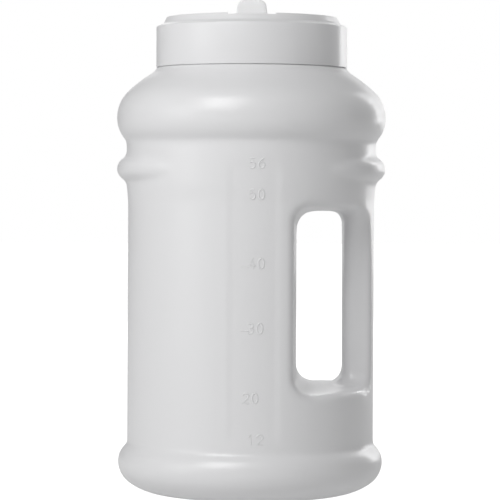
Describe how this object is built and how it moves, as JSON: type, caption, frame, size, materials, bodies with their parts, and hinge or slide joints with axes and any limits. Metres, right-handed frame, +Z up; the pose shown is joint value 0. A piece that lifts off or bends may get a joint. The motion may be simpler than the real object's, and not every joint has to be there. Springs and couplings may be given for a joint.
{
  "type": "plastic water jug",
  "caption": "Wide-mouth plastic water jug with a grip moulded into its side, a flat screw cap and a soft spout cover with a pull tab.",
  "frame": {"origin": "middle of the jug's base, at the height it stands on", "axes": "+Z up along the jug's axis, +X towards the moulded grip, +Y across the parting plane"},
  "size_m": [0.1342, 0.1342, 0.2452],
  "materials": {
    "jug_wall": "satin white blow-moulded polyethylene",
    "cap": "satin white injection-moulded polypropylene",
    "soft_cover": "soft matt off-white silicone rubber"
  },
  "bodies": {
    "root": {"jug_body": "jug_wall", "screw_cap": "cap", "spout_cover": "soft_cover"}
  },
  "joints": []
}
